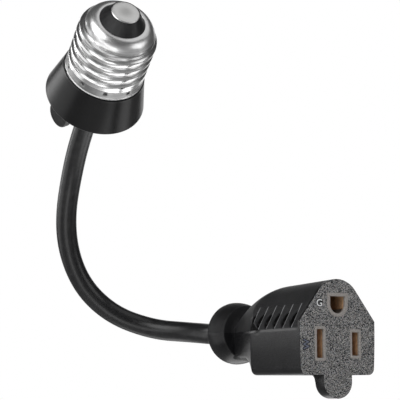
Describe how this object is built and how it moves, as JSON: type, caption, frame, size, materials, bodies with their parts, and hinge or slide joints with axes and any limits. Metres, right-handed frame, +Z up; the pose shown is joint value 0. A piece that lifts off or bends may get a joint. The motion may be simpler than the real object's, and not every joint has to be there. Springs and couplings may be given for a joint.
{
  "type": "lamp socket adapter",
  "caption": "Black lamp socket adapter: a screw lamp base with a flared cap, a short round cord and a moulded grounded outlet.",
  "frame": {"origin": "the centre of the screw shell's rim plane, on the screw axis, where the shell meets the cap; the adapter stands as pictured, with the screw base tilted up, the cord in its bend and the outlet level below", "axes": "+X to the right as one faces the outlet, +Y away from the viewer, from the outlet's face back to its cord, +Z up, from the outlet's tongue to its ridge"},
  "size_m": [0.0829, 0.1103, 0.1282],
  "materials": {
    "shell_metal": "bright nickel plate",
    "nose_plastic": "gloss",
    "contact_metal": "satin tin plate",
    "cap_plastic": "satin gloss",
    "ferrule_metal": "zinc plate",
    "core_black": "semi-matt",
    "core_white": "semi-matt",
    "bare_copper": "bright stranded copper",
    "cord_jacket": "satin",
    "outlet_vinyl": "fine-grained semi-gloss",
    "carrier_plastic": "semi-matt",
    "contact_brass": "rolled sheet"
  },
  "bodies": {
    "root": {"screw_shell": "shell_metal", "tip_insulator": "nose_plastic", "centre_contact": "contact_metal", "base_body": "cap_plastic", "base_cover": "cap_plastic", "cord_grip": "ferrule_metal", "base_hot_lead": "core_black", "base_hot_strands": "bare_copper", "base_neutral_lead": "core_white", "base_neutral_strands": "bare_copper", "cord": "cord_jacket", "outlet_body": "outlet_vinyl", "contact_carrier": "carrier_plastic", "carrier_plate": "carrier_plastic", "hot_contact": "contact_brass", "neutral_contact": "contact_brass", "ground_contact": "contact_brass", "outlet_hot_strands": "bare_copper", "outlet_neutral_strands": "bare_copper", "outlet_hot_lead": "core_black", "outlet_neutral_lead": "core_white"}
  },
  "joints": []
}
